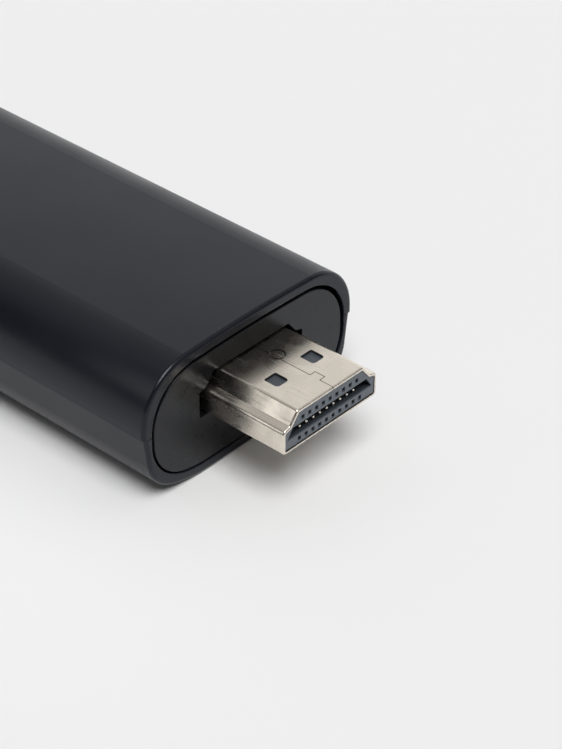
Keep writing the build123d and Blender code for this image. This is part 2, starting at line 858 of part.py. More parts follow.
def make_can(name, length, height, side):
    """Screening can on one side of the board: a soldered frame and the lid that snaps over it."""
    face_z = board_top if side > 0 else board_bottom
    top_z = face_z + side * height
    with BuildPart() as frame:
        with BuildSketch(Plane.XY.offset(face_z)):
            with Locations((can_x, 0)):
                RectangleRounded(length, can_width, can_corner_radius)
        extrude(amount=side * height)
        with BuildSketch(Plane.XY.offset(face_z)):
            with Locations((can_x, 0)):
                Rectangle(length - 2 * can_sheet, can_inner)
        extrude(amount=side * (height - can_sheet), mode=Mode.SUBTRACT)
        with BuildSketch(Plane.XY.offset(face_z)):
            with Locations((can_x, 0)):
                Rectangle(length - 2 * can_flange, can_width - 2 * can_flange)
        extrude(amount=side * height, mode=Mode.SUBTRACT)
    write_piece(frame, f"{name}_shield_frame")
    inner_length = length + 2 * lid_clearance
    inner_width = can_width + 2 * lid_clearance
    with BuildPart() as lid:
        with BuildSketch(Plane.XY.offset(top_z - side * lid_skirt)):
            with Locations((can_x, 0)):
                RectangleRounded(
                    inner_length + 2 * can_sheet,
                    inner_width + 2 * can_sheet,
                    can_corner_radius + can_sheet,
                )
        extrude(amount=side * (lid_skirt + can_sheet))
        with BuildSketch(Plane.XY.offset(top_z - side * lid_skirt)):
            with Locations((can_x, 0)):
                RectangleRounded(inner_length, inner_width, can_corner_radius)
        extrude(amount=side * lid_skirt, mode=Mode.SUBTRACT)
    write_piece(lid, f"{name}_shield_lid")


make_can("upper", upper_can_length, upper_can_height, 1)
make_can("lower", lower_can_length, lower_can_height, -1)


def make_pad(name, x, side_x, side_y, low_z, high_z):
    """Soft thermal pad that fills the gap between two levels."""
    with BuildPart() as pad:
        with BuildSketch(Plane.XY.offset(low_z)):
            with Locations((x, 0)):
                Rectangle(side_x, side_y)
        extrude(amount=high_z - low_z)
    write_piece(pad, name)


upper_lid_top = board_top + upper_can_height + can_sheet
lower_lid_bottom = board_bottom - lower_can_height - can_sheet
processor_top = board_top + processor_height
storage_bottom = board_bottom - storage_height
make_pad(
    "processor_thermal_pad",
    processor_x,
    processor_side - 2 * chip_pad_inset,
    processor_side - 2 * chip_pad_inset,
    processor_top,
    processor_top + chip_pad_thickness,
)
make_pad(
    "storage_thermal_pad",
    storage_x,
    storage_length - 2 * chip_pad_inset,
    storage_width - 2 * chip_pad_inset,
    storage_bottom - chip_pad_thickness,
    storage_bottom,
)
make_pad(
    "upper_thermal_pad", processor_x, pad_side, pad_side, upper_lid_top, upper_spreader_bottom
)
make_pad(
    "lower_thermal_pad", storage_x, pad_side, pad_side, lower_spreader_top, lower_lid_bottom
)

# Upper heat spreader: plate staked to the ceiling of the upper shell
with BuildPart() as upper_heat_spreader:
    with BuildSketch(Plane.XY.offset(upper_spreader_bottom)):
        with Locations((spreader_x, 0)):
            RectangleRounded(spreader_length, spreader_width, spreader_corner_radius)
            with GridLocations(stake_spacing, 0, 2, 1):
                Circle(stake_diameter / 2 + stake_clearance, mode=Mode.SUBTRACT)
    extrude(amount=upper_spreader_thickness)
    fillet(upper_heat_spreader.faces().sort_by(Axis.Z)[-1].outer_wire().edges(), chip_bevel)
write_piece(upper_heat_spreader, "upper_heat_spreader")

# Lower heat spreader: shallow tray that lies on the ribs of the lower shell
with BuildPart() as lower_heat_spreader:
    with BuildSketch(Plane.XY.offset(lower_spreader_bottom)):
        with Locations((spreader_x, 0)):
            RectangleRounded(spreader_length, spreader_width, spreader_corner_radius)
    extrude(amount=lower_spreader_thickness)
    with BuildSketch(Plane.XY.offset(lower_spreader_top)):
        with Locations((spreader_x, 0)):
            with GridLocations(0, spreader_width - spreader_flange_thickness, 1, 2):
                Rectangle(
                    spreader_length - 2 * spreader_corner_radius, spreader_flange_thickness
                )
    extrude(amount=spreader_flange_height)
    with BuildSketch(Plane.XY.offset(lower_spreader_bottom)):
        with Locations((spreader_x, 0)):
            with GridLocations(stake_spacing, 0, 2, 1):
                Circle(stake_diameter / 2 + stake_clearance)
    extrude(amount=body_height, mode=Mode.SUBTRACT)
write_piece(lower_heat_spreader, "lower_heat_spreader")

# Power socket: folded shell with a flared mouth, its tongue and five contacts
def socket_plane(y):
    """Plane across the power socket at y, with its origin on the board's underside."""
    return Plane(origin=(socket_x, y, board_bottom), x_dir=(1, 0, 0), z_dir=(0, -1, 0))


def socket_section(y, inset=0.0):
    """Outline of the power socket at y: wide against the board, narrow below."""
    wide = socket_width / 2
    narrow = socket_narrow_width / 2
    with BuildSketch(socket_plane(y)) as section:
        with BuildLine():
            Polyline(
                (-wide, 0),
                (wide, 0),
                (wide, -socket_height / 2),
                (narrow, -socket_height),
                (-narrow, -socket_height),
                (-wide, -socket_height / 2),
                close=True,
            )
        make_face()
        fillet(section.vertices(), socket_fold_radius)
        if inset:
            offset(amount=-inset)
    return section.sketch


socket_back_y = socket_mouth_y + socket_depth
flare_y = socket_mouth_y + socket_flare_length
with BuildPart() as power_socket_shell:
    extrude(socket_section(socket_back_y), amount=socket_depth - socket_flare_length)
    extrude(socket_section(flare_y), amount=socket_flare_length, taper=-socket_flare_angle)
    split(bisect_by=Plane.XY.offset(board_bottom), keep=Keep.BOTTOM)
    extrude(
        socket_section(socket_back_y - socket_sheet, socket_sheet),
        amount=socket_depth,
        mode=Mode.SUBTRACT,
    )
    extrude(
        socket_section(flare_y, socket_sheet),
        amount=socket_flare_length,
        taper=-socket_flare_angle,
        mode=Mode.SUBTRACT,
    )
write_piece(power_socket_shell, "power_socket_shell")

tongue_back_y = socket_back_y - socket_sheet
socket_cavity_height = socket_height - 2 * socket_sheet - 2 * insulator_gap
with BuildPart() as power_socket_tongue:
    with BuildSketch(socket_plane(tongue_back_y)):
        with Locations((0, -socket_height / 2)):
            Rectangle(tongue_width, tongue_thickness)
    extrude(amount=tongue_length)
    chamfer(power_socket_tongue.faces().sort_by(Axis.Y)[0].edges(), chip_bevel)
    with BuildSketch(socket_plane(tongue_back_y)):
        with Locations((0, -socket_height / 2)):
            Rectangle(tongue_width, socket_cavity_height)
    extrude(amount=tongue_base_length)
write_piece(power_socket_tongue, "power_socket_tongue")

with BuildPart() as power_socket_contacts:
    with BuildSketch(socket_plane(tongue_back_y - tongue_base_length)):
        strip_middle = -socket_height / 2 - (tongue_thickness + socket_contact_thickness) / 2
        with Locations((0, strip_middle)):
            with GridLocations(socket_contact_pitch, 0, socket_contacts, 1):
                Rectangle(socket_contact_width, socket_contact_thickness)
    extrude(amount=tongue_length - tongue_base_length - 2 * chip_bevel)
write_piece(power_socket_contacts, "power_socket_contacts")

# Radio module: its own small board and can
radio_x = board_rear_x + radio_setback
with BuildPart() as radio_board:
    with BuildSketch(Plane.XY.offset(board_top)):
        with Locations((radio_x, radio_offset)):
            Rectangle(radio_side, radio_side)
    extrude(amount=radio_board_thickness)
write_piece(radio_board, "radio_board")

with BuildPart() as radio_cover:
    with BuildSketch(Plane.XY.offset(board_top + radio_board_thickness)):
        with Locations((radio_x, radio_offset)):
            RectangleRounded(radio_cover_side, radio_cover_side, can_corner_radius)
    extrude(amount=radio_cover_height)
    fillet(radio_cover.faces().sort_by(Axis.Z)[-1].edges(), chip_bevel)
    with BuildSketch(Plane.XY.offset(board_top + radio_board_thickness)):
        with Locations((radio_x, radio_offset)):
            Rectangle(radio_cover_side - 2 * can_sheet, radio_cover_side - 2 * can_sheet)
    extrude(amount=radio_cover_height - can_sheet, mode=Mode.SUBTRACT)
write_piece(radio_cover, "radio_cover")

# Two small antennas at the far end of the board
for name, side in (("antenna_near", -1), ("antenna_far", 1)):
    with BuildPart() as antenna:
        with BuildSketch(Plane.XY.offset(board_top)):
            with Locations((board_rear_x + antenna_setback, side * antenna_offset)):
                Rectangle(antenna_width, antenna_length)
        extrude(amount=antenna_height)
        chamfer(antenna.faces().sort_by(Axis.Z)[-1].edges(), chip_bevel)
    write_piece(antenna, name)


def make_group(name, x, across, size, side=1):
    """Row of like small board parts at x, each a block with bevelled outer edges."""
    length, width, height = size
    face_z = board_top if side > 0 else board_bottom
    with BuildPart() as group:
        with BuildSketch(Plane.XY.offset(face_z)):
            with Locations([(x, y) for y in across]):
                Rectangle(length, width)
        extrude(amount=side * height)
        outer_faces = group.faces().group_by(Axis.Z)[-1 if side > 0 else 0]
        chamfer(outer_faces.edges(), block_bevel)
    write_piece(group, name)


behind_can_x = can_x - upper_can_length / 2
before_can_x = can_x + upper_can_length / 2
inductor_rows = [inductor_offset + y for y in rows(inductors, inductor_pitch)]
large_capacitor_rows = [
    side * large_capacitor_offset + y
    for side in (-1, 1)
    for y in rows(large_capacitors_per_side, large_capacitor_pitch)
]
resistor_rows = [plug_offset + y for y in rows(resistor_count, resistor_pitch)]
surge_array_rows = [plug_offset + y for y in rows(surge_array_count, surge_array_pitch)]
make_group("power_inductors", behind_can_x - inductor_distance, inductor_rows, inductor_size)
make_group("large_capacitors", power_chip_x, large_capacitor_rows, large_capacitor_size, -1)
make_group(
    "small_capacitors",
    behind_can_x - small_capacitor_distance,
    rows(small_capacitor_count, small_capacitor_pitch),
    small_capacitor_size,
)
make_group("resistors", before_can_x + resistor_distance, resistor_rows, resistor_size)
make_group(
    "surge_arrays", before_can_x + surge_array_distance, surge_array_rows, surge_array_size
)
make_group(
    "system_crystal",
    behind_can_x - system_crystal_distance,
    [system_crystal_offset],
    system_crystal_size,
)
make_group(
    "radio_crystal",
    radio_x + radio_side / 2 + radio_crystal_distance,
    [radio_crystal_offset],
    radio_crystal_size,
)

# Status light on the board and the clear pipe that takes it out through the near side
with BuildPart() as indicator_lamp:
    with BuildSketch(Plane.XY.offset(board_top)):
        with Locations((lamp_x, lamp_front_y + lamp_depth / 2)):
            Rectangle(lamp_length, lamp_depth)
    extrude(amount=lamp_height)
write_piece(indicator_lamp, "indicator_lamp")

pipe_inner_y = lamp_front_y - insulator_gap
pipe_outer_y = -half_width + insulator_gap
flange_outer_y = -half_width + wall + pipe_flange_setback
with BuildPart() as light_pipe:
    with BuildSketch(Plane.XZ.offset(-pipe_inner_y)):
        with Locations((lamp_x, pipe_z)):
            Circle(pipe_diameter / 2)
    extrude(amount=pipe_inner_y - pipe_outer_y)
    with BuildSketch(Plane.XZ.offset(-flange_outer_y)):
        with Locations((lamp_x, pipe_z)):
            Circle(pipe_flange_diameter / 2)
    extrude(amount=-pipe_flange_thickness)
write_piece(light_pipe, "light_pipe")
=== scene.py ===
"""Streaming stick: finishes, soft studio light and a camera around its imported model.

Metres throughout. X runs along the stick to the tip of the plug, Y across it and Z up.
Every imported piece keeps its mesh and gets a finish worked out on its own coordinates.
"""

import math

import bpy
from bpy.props import FloatProperty, FloatVectorProperty, PointerProperty
from mathutils import Matrix, Vector


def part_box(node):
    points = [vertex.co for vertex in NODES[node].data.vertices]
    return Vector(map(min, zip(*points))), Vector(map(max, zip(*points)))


bl_info = {
    "name": "Streaming stick finishes",
    "version": (1, 0, 0),
    "blender": (4, 5, 0),
    "location": "View3D > Sidebar > Stick",
    "description": "Finishes, light and camera for a streaming stick",
    "category": "Object",
}

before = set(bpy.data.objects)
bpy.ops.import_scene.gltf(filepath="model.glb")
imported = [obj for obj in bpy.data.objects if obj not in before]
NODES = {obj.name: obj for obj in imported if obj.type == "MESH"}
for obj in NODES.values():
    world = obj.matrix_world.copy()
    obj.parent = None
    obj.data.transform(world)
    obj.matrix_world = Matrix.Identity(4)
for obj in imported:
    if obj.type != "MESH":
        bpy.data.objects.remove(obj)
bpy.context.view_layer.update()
MM = 0.001

# Part of a noise pattern's range that a finish is spread over
PATTERN_MIDDLE = (0.3, 0.7)

# Cool cast of the gloss on the casing and its plate, and pale specks in the plastic
COOL_GLOSS = (0.9, 0.93, 1.0, 1.0)
SPECK = (0.12, 0.12, 0.12)

# Colours of the small parts
TINNED_END = (0.68, 0.67, 0.64)
FIRED_CERAMIC = (0.36, 0.22, 0.11)
FIRED_FILM = (0.015, 0.015, 0.018)
FERRITE = (0.06, 0.06, 0.063)
FERRITE_DARK = (0.035, 0.035, 0.037)
FERRITE_PALE = (0.09, 0.09, 0.094)
CRYSTAL_LID = (0.7, 0.68, 0.62)
CRYSTAL_LID_DULL = (0.55, 0.53, 0.48)
GLAZE = (0.74, 0.74, 0.7)
GLAZE_PALE = (0.78, 0.78, 0.74)
GLAZE_DULL = (0.66, 0.66, 0.61)
ZINC = (0.5, 0.5, 0.51)
ZINC_PALE = (0.52, 0.52, 0.53)
ZINC_DULL = (0.38, 0.38, 0.4)
RESIN = (0.82, 0.8, 0.68)
RESIN_PALE = (0.84, 0.82, 0.7)
RESIN_DULL = (0.74, 0.7, 0.55)
CLEAR = (0.9, 0.92, 0.93)
CLEAR_IOR = 1.49
CLEAR_SHARE = 0.85

# Where the lamps and the camera stand
TOWARD_KEY = (0.38, -0.24, 0.885)
TOWARD_CARD = (-0.541, -0.713, 0.445)
PLUG_FOLD_MM = (43.5, -5.2, 10.7)
EYE_MM = (172.634, -147.577, 153.473)
CAMERA_TURN = math.radians(41.95)
CAMERA_RISE = math.radians(35.81)
CAMERA_ROLL = math.radians(0.26)
SENSOR_WIDTH_MM = 36.0
CAMERA_NEAR = 0.01

# Where the world is bright: directions, and where each edge starts and ends
TOWARD_SWEEP = (-0.6, 0.8, 0.0)
SWEEP_EDGE = (0.25, 0.62)
SWEEP_TOP = (0.54, 0.78)
TOWARD_CEILING = (-0.3, 0.95, 0.0)
CEILING_EDGE = (-0.6, 0.15)
CEILING_FOOT = (0.32, 0.6)
SKIRTING_TOP = 0.14


def colour_property(name, description, default):
    """Colour of a finish, in linear light."""
    return FloatVectorProperty(
        name=name,
        description=description,
        subtype="COLOR",
        size=3,
        min=0.0,
        max=1.0,
        default=default,
    )


def length_property(name, description, default):
    """Length in metres."""
    return FloatProperty(
        name=name, description=description, default=default, min=0.0, unit="LENGTH", precision=5
    )


def share_property(name, description, default):
    """Share from none to all."""
    return FloatProperty(
        name=name, description=description, default=default, min=0.0, max=1.0, subtype="FACTOR"
    )


class StickCasingSettings(bpy.types.PropertyGroup):
    """Moulded casing and the plate in its mouth."""

    colour: colour_property("Colour", "Colour of the moulded casing", (0.0056, 0.0064, 0.0102))
    roughness: share_property("Roughness", "How matt the casing is", 0.31)
    shine: share_property("Shine", "Specular level of the casing's upper half", 0.31)
    lower_shine: share_property("Lower shine", "Specular level of its lower half", 0.34)
    grain: length_property("Grain", "Size of the moulded grain", 0.00016)
    grain_depth: length_property("Grain depth", "Depth of the moulded grain", 0.000006)
    plate_colour: colour_property("Plate", "Colour of the end plate", (0.0045, 0.0048, 0.0056))
    plate_roughness: share_property("Plate roughness", "How matt the end plate is", 0.26)
    plate_shine: share_property("Plate shine", "Specular level of the end plate", 0.34)


class StickPlugSettings(bpy.types.PropertyGroup):
    """Video plug and its contacts."""

    colour: colour_property("Plating", "Colour of the plug's plating", (0.78, 0.72, 0.63))
    roughness: share_property("Roughness", "How dull the plating is", 0.26)
    # Painted light: the flat top of the plug gets a brightness of its own, apart from the sides,
    # for how the light falls on it; at 1.0 it is the plain plating.
    top_shade: share_property("Top shade", "Brightness of the flat top next to the sides", 1.0)
    # Painted shade: the plating is darkened towards the end plate, standing in for the plate's
    # dark reflection and its shade at the root.
    root_shade: share_property("Root shade", "Brightness of the tarnish at the root", 0.58)
    # Partly the bare sheet of the cut edges and partly painted shade: the walls of the latch
    # windows are darkened.
    shaded_cut_edge: colour_property(
        "Cut edge", "Colour of the bare sheet in a cut edge", (0.16, 0.155, 0.15)
    )
    insulator: colour_property(
        "Moulding", "Colour of the moulding in the plug", (0.1, 0.118, 0.14)
    )
    contact: colour_property("Contacts", "Colour of the contacts", (0.95, 0.9, 0.8))


class StickInsideSettings(bpy.types.PropertyGroup):
    """Board, chips and cooling inside the casing."""

    resist: colour_property("Board", "Colour of the board's solder resist", (0.008, 0.06, 0.024))
    track: colour_property(
        "Tracks", "Colour of the resist over a copper track", (0.02, 0.12, 0.045)
    )
    fibre: colour_property("Board edge", "Colour of the board's cut edge", (0.42, 0.36, 0.18))
    track_pitch: length_property("Track pitch", "Distance between tracks", 0.0011)
    chip: colour_property("Chips", "Colour of the chips", (0.012, 0.012, 0.013))
    tin: colour_property("Tinned steel", "Colour of the screening cans", (0.62, 0.61, 0.58))
    aluminium: colour_property("Aluminium", "Colour of the heat spreaders", (0.76, 0.77, 0.78))
    pad: colour_property("Thermal pads", "Colour of the thermal pads", (0.23, 0.31, 0.38))


class StickStageSettings(bpy.types.PropertyGroup):
    """Floor, light and camera."""

    floor: colour_property("Floor", "Colour of the floor", (0.9, 0.9, 0.9))
    floor_size: length_property("Floor size", "Side of the floor", 6.0)
    sweep: FloatProperty(
        name="Sweep", description="Brightness of the white sweep behind", default=1.0, min=0.0
    )
    sweep_light: share_property("Sweep light", "Share of the sweep that lights matt surfaces", 0.5)
    ceiling: share_property("Ceiling", "Brightness of the ceiling", 0.5)
    room: share_property("Room", "Brightness of the room before the stick", 0.08)
    skirting: share_property("Skirting", "Brightness of that room at floor level", 0.22)
    key: FloatProperty(
        name="Key", description="Strength of the soft key light", default=2.26, min=0.0
    )
    key_spread: FloatProperty(
        name="Key spread",
        description="Angle that the key light fills",
        default=0.6,
        unit="ROTATION",
    )
    card: FloatProperty(
        name="Card",
        description="Brightness of the small card beside the plug",
        default=1.1,
        min=0.0,
    )
    card_size: length_property("Card size", "Side of that card", 0.016)
    card_distance: length_property("Card distance", "From that card to the plug", 0.04)
    lens: FloatProperty(
        name="Lens", description="Focal length in millimetres", default=118.69, min=1.0
    )


class Finish:
    """One material, built on the piece's own coordinates."""

    def __init__(self, name, colour, roughness, metallic=0.0):
        self.material = bpy.data.materials.new(name)
        self.material.use_nodes = True
        self.tree = self.material.node_tree
        self.shader = self.tree.nodes["Principled BSDF"]
        self.shader.inputs["Base Color"].default_value = (*colour, 1.0)
        self.shader.inputs["Roughness"].default_value = roughness
        self.shader.inputs["Metallic"].default_value = metallic
        self.place = self.node("ShaderNodeTexCoord").outputs["Object"]
        self.geometry = self.node("ShaderNodeNewGeometry")

    def node(self, kind, **settings):
        """Add a node and set its named properties."""
        made = self.tree.nodes.new(kind)
        for name, value in settings.items():
            setattr(made, name, value)
        return made

    def feed(self, socket, value):
        """Link an output to a socket, or set the socket to a plain value."""
        if isinstance(value, bpy.types.NodeSocket):
            self.tree.links.new(value, socket)
        elif hasattr(value, "__len__") and len(value) == 3 and len(socket.default_value) == 4:
            socket.default_value = (*value, 1.0)
        else:
            socket.default_value = value

    def stretched(self, along):
        """The piece's coordinates with each axis multiplied, which draws a pattern out."""
        mapping = self.node("ShaderNodeMapping")
        self.feed(mapping.inputs["Vector"], self.place)
        mapping.inputs["Scale"].default_value = along
        return mapping.outputs["Vector"]

    def noise(self, size, detail=2.0, place=None):
        """Cloudy noise with features about size across."""
        made = self.node("ShaderNodeTexNoise")
        self.feed(made.inputs["Vector"], place or self.place)
        made.inputs["Scale"].default_value = 1.0 / size
        made.inputs["Detail"].default_value = detail
        return made.outputs["Fac"]

    def cells(self, size, feature="F1", distance="EUCLIDEAN", place=None):
        """Distance to the nearest of points scattered about size apart, or to the cell's edge."""
        made = self.node("ShaderNodeTexVoronoi", feature=feature)
        if feature != "DISTANCE_TO_EDGE":
            made.distance = distance
        self.feed(made.inputs["Vector"], place or self.place)
        made.inputs["Scale"].default_value = 1.0 / size
        return made.outputs["Distance"]

    def maths(self, operation, first, second=0.0):
        """Arithmetic on two numbers."""
        made = self.node("ShaderNodeMath", operation=operation)
        self.feed(made.inputs[0], first)
        self.feed(made.inputs[1], second)
        return made.outputs[0]

    def ramp(self, value, low, high, at_low=0.0, at_high=1.0):
        """Carry low to high over to at_low to at_high, smoothly and held at both ends."""
        made = self.node("ShaderNodeMapRange", interpolation_type="SMOOTHSTEP")
        self.feed(made.inputs["Value"], value)
        for name, number in (
            ("From Min", low),
            ("From Max", high),
            ("To Min", at_low),
            ("To Max", at_high),
        ):
            made.inputs[name].default_value = number
        return made.outputs["Result"]

    def vary(self, pattern, at_low, at_high):
        """Spread the middle of a noise pattern over at_low to at_high."""
        return self.ramp(pattern, *PATTERN_MIDDLE, at_low, at_high)

    def blend(self, share, first, second):
        """Mix two colours."""
        made = self.node("ShaderNodeMix", data_type="RGBA")
        self.feed(made.inputs[0], share)
        self.feed(made.inputs[6], first)
        self.feed(made.inputs[7], second)
        return made.outputs[2]

    def axis(self, letter, source=None):
        """One coordinate of the surface, or of another vector."""
        made = self.node("ShaderNodeSeparateXYZ")
        self.feed(made.inputs[0], source or self.place)
        return made.outputs[letter]

    def normal(self, letter):
        """One part of the surface's own normal."""
        return self.axis(letter, self.geometry.outputs["Normal"])

    def relief(self, *layers):
        """Bump from layers of (height from 0 to 1, depth in metres), one over another."""
        under = None
        for height, depth in layers:
            made = self.node("ShaderNodeBump")
            made.inputs["Strength"].default_value = 1.0
            made.inputs["Distance"].default_value = depth
            self.feed(made.inputs["Height"], height)
            if under:
                self.feed(made.inputs["Normal"], under)
            under = made.outputs["Normal"]
        self.feed(self.shader.inputs["Normal"], under)

    def colour(self, value):
        """Feed the base colour."""
        self.feed(self.shader.inputs["Base Color"], value)

    def roughness(self, value):
        """Feed the roughness."""
        self.feed(self.shader.inputs["Roughness"], value)

    def metallic(self, value):
        """Feed the share of bare metal."""
        self.feed(self.shader.inputs["Metallic"], value)

    def put_on(self, *names):
        """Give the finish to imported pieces."""
        for name in names:
            slots = NODES[name].material_slots
            if slots:
                for slot in slots:
                    slot.material = self.material
            else:
                NODES[name].data.materials.append(self.material)


def shade_of(colour, factor):
    """A colour made lighter or darker."""
    return tuple(min(1.0, part * factor) for part in colour)


def moulded_casing(name, settings, lift, shine):
    """Moulded plastic: fine even grain, faint cloudy gloss, and edges polished by handling."""
    cloud_size = 9 * MM
    speck_spacing = 2.6 * MM
    speck_share = 0.03
    polish_start = 0.9 * MM
    polish_end = 0.1 * MM
    polish = 0.08
    gloss_spread = 0.03
    base = shade_of(settings.colour, lift)
    finish = Finish(name, base, settings.roughness)
    finish.shader.inputs["Specular IOR Level"].default_value = shine
    finish.shader.inputs["Specular Tint"].default_value = COOL_GLOSS
    grain = finish.cells(settings.grain)
    fine = finish.noise(settings.grain, 3.0)
    cloud = finish.noise(cloud_size)
    rim_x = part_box("upper_shell")[1].x
    rim = finish.ramp(finish.axis("X"), rim_x - polish_start, rim_x - polish_end)
    specks = finish.ramp(finish.cells(speck_spacing), 0.0, speck_share, 1.0, 0.0)
    tint = finish.blend(finish.maths("MULTIPLY", cloud, 0.5), base, shade_of(base, 1.25))
    finish.colour(finish.blend(finish.maths("MULTIPLY", specks, 0.25), tint, SPECK))
    gloss = finish.vary(
        cloud, settings.roughness + gloss_spread, settings.roughness - gloss_spread
    )
    gloss = finish.maths("SUBTRACT", gloss, finish.maths("MULTIPLY", rim, polish))
    finish.roughness(finish.maths("ADD", gloss, finish.maths("MULTIPLY", fine, 0.05)))
    finish.relief((fine, settings.grain_depth), (grain, settings.grain_depth / 2))
    return finish


class STICK_OT_casing(bpy.types.Operator):
    """Finish the two halves of the casing"""

    bl_idname = "stick.casing"
    bl_label = "Casing"

    def execute(self, context):
        settings = context.scene.stick_casing
        upper = moulded_casing("upper_casing", settings, 1.0, settings.shine)
        upper.put_on("upper_shell")
        lower = moulded_casing("lower_casing", settings, 1.08, settings.lower_shine)
        lower.put_on("lower_shell")
        return {"FINISHED"}


class STICK_OT_end_plate(bpy.types.Operator):
    """Finish the plate in the casing's mouth"""

    bl_idname = "stick.end_plate"
    bl_label = "End plate"

    def execute(self, context):
        settings = context.scene.stick_casing
        cloud_size = 4 * MM
        grain_size = 0.12 * MM
        grain_depth = 0.002 * MM
        finish = Finish("plate", settings.plate_colour, settings.plate_roughness)
        finish.shader.inputs["Specular IOR Level"].default_value = settings.plate_shine
        finish.shader.inputs["Specular Tint"].default_value = COOL_GLOSS
        cloud = finish.noise(cloud_size, 3.0)
        fine = finish.noise(grain_size)
        finish.colour(
            finish.blend(cloud, settings.plate_colour, shade_of(settings.plate_colour, 1.3))
        )
        rough = settings.plate_roughness
        finish.roughness(finish.vary(cloud, rough - 0.04, rough + 0.05))
        finish.relief((fine, grain_depth))
        finish.put_on("end_plate")
        return {"FINISHED"}


class STICK_OT_plug(bpy.types.Operator):
    """Finish the plug's folded shell in bright nickel"""

    bl_idname = "stick.plug"
    bl_label = "Plug shell"

    def execute(self, context):
        settings = context.scene.stick_plug
        rolled_size = 0.35 * MM
        rolled_depth = 0.003 * MM
        grain_size = 0.14 * MM
        grain_depth = 0.0025 * MM
        cloud_size = 2.2 * MM
        scratch_size = 0.25 * MM
        scratch_dulling = 0.12
        sheet_thickness = 0.3 * MM
        edge_fade = 0.02 * MM
        front_start = 1.5 * MM
        front_end = 1.4 * MM
        painted_shade_start = 0.6 * MM
        painted_shade_end = 4.6 * MM
        finish = Finish("plug_metal", settings.colour, settings.roughness, 1.0)
        rolled = finish.noise(rolled_size, 4.0, finish.stretched((0.12, 1.0, 1.0)))
        grain = finish.noise(grain_size, 3.0)
        cloud = finish.noise(cloud_size)
        scratches = finish.ramp(
            finish.noise(scratch_size, 2.0, finish.stretched((0.05, 1.0, 1.0))), 0.62, 0.7
        )
        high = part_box("plug_shell")[1]
        # Cut edges in the top sheet, the walls of its latch windows and seam: bare sheet, darkened
        # further as painted shade.
        under_z = high.z - sheet_thickness
        sheet = finish.ramp(finish.axis("Z"), under_z - edge_fade, under_z)
        upright = finish.ramp(finish.maths("ABSOLUTE", finish.normal("Z")), 0.3, 0.5, 1.0, 0.0)
        behind = finish.ramp(
            finish.axis("X"), high.x - front_start, high.x - front_end, 1.0, 0.0
        )
        cut = finish.maths("MULTIPLY", sheet, finish.maths("MULTIPLY", upright, behind))
        # Painted light: upward faces take the plating scaled by top_shade, apart from the sides.
        top = finish.ramp(finish.normal("Z"), 0.75, 0.95)
        # Painted shade at the root: the plating darkens towards the end plate, where it mirrors
        # the dark plate and lies in its shade, with a cloudy edge.
        root_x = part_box("end_plate")[1].x
        root = finish.ramp(
            finish.axis("X"), root_x + painted_shade_start, root_x + painted_shade_end, 1.0, 0.0
        )
        dull = shade_of(settings.colour, 0.93)
        plated = finish.blend(finish.ramp(cloud, 0.35, 0.65), dull, settings.colour)
        plated = finish.blend(top, plated, shade_of(settings.colour, settings.top_shade))
        painted_shade = finish.maths("MULTIPLY", root, finish.ramp(cloud, 0.2, 0.8, 1.0, 0.8))
        plated = finish.blend(painted_shade, plated, shade_of(settings.colour, settings.root_shade))
        finish.colour(finish.blend(cut, plated, settings.shaded_cut_edge))
        gloss = finish.vary(cloud, settings.roughness + 0.05, settings.roughness - 0.04)
        scratched = finish.maths("MULTIPLY", scratches, scratch_dulling)
        finish.roughness(finish.maths("ADD", gloss, scratched))
        finish.relief((grain, grain_depth), (rolled, rolled_depth))
        finish.put_on("plug_shell")
        return {"FINISHED"}


class STICK_OT_plug_moulding(bpy.types.Operator):
    """Finish the moulding that holds the plug's contacts"""

    bl_idname = "stick.plug_moulding"
    bl_label = "Plug moulding"

    def execute(self, context):
        settings = context.scene.stick_plug
        cloud_size = 1.2 * MM
        grain_size = 0.06 * MM
        grain_depth = 0.0015 * MM
        slot_start = 0.25 * MM
        slot_end = 0.03 * MM
        roof_start = 0.15 * MM
        roof_end = 0.08 * MM
        # Painted shade: the top of the moulding under the latch windows and the inside of its slot
        # and holes are darkened.
        roof_shade = 0.6
        slot_shade = 0.4
        finish = Finish("insulator", settings.insulator, 0.38)
        cloud = finish.noise(cloud_size, 3.0)
        fine = finish.noise(grain_size)
        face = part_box("plug_insulator")[1]
        inner = finish.ramp(
            finish.axis("X"), face.x - slot_start, face.x - slot_end, 1.0, 0.0
        )
        under = finish.ramp(
            finish.axis("Z"), face.z - roof_start, face.z - roof_end, 1.0, 0.0
        )
        # Painted shade inside the slot and holes, behind the front face and below the top.
        deep = finish.maths("MULTIPLY", inner, under)
        dust_and_shade = finish.blend(
            cloud, shade_of(settings.insulator, 0.85), shade_of(settings.insulator, 1.15)
        )
        # Painted shade on the top of the moulding, seen through the latch windows.
        dust_and_shade = finish.blend(under, shade_of(settings.insulator, roof_shade), dust_and_shade)
        finish.colour(finish.blend(deep, dust_and_shade, shade_of(settings.insulator, slot_shade)))
        finish.roughness(finish.vary(cloud, 0.34, 0.44))
        finish.relief((fine, grain_depth))
        finish.put_on("plug_insulator")
        return {"FINISHED"}


class STICK_OT_contacts(bpy.types.Operator):
    """Finish the sprung contacts of the plug and of the power socket"""

    bl_idname = "stick.contacts"
    bl_label = "Contacts"

    def execute(self, context):
        settings = context.scene.stick_plug
        finish = Finish("contacts", settings.contact, 0.16, 1.0)
        cloud_size = 0.5 * MM
        drawn_size = 0.05 * MM
        drawn_depth = 0.0008 * MM
        cloud = finish.noise(cloud_size, 3.0)
        drawn = finish.noise(drawn_size, 2.0, finish.stretched((0.1, 1.0, 1.0)))
        finish.colour(finish.blend(cloud, shade_of(settings.contact, 0.88), settings.contact))
        finish.roughness(finish.vary(cloud, 0.12, 0.24))
        finish.relief((drawn, drawn_depth))
        finish.put_on("plug_contacts_upper", "plug_contacts_lower", "power_socket_contacts")
        return {"FINISHED"}


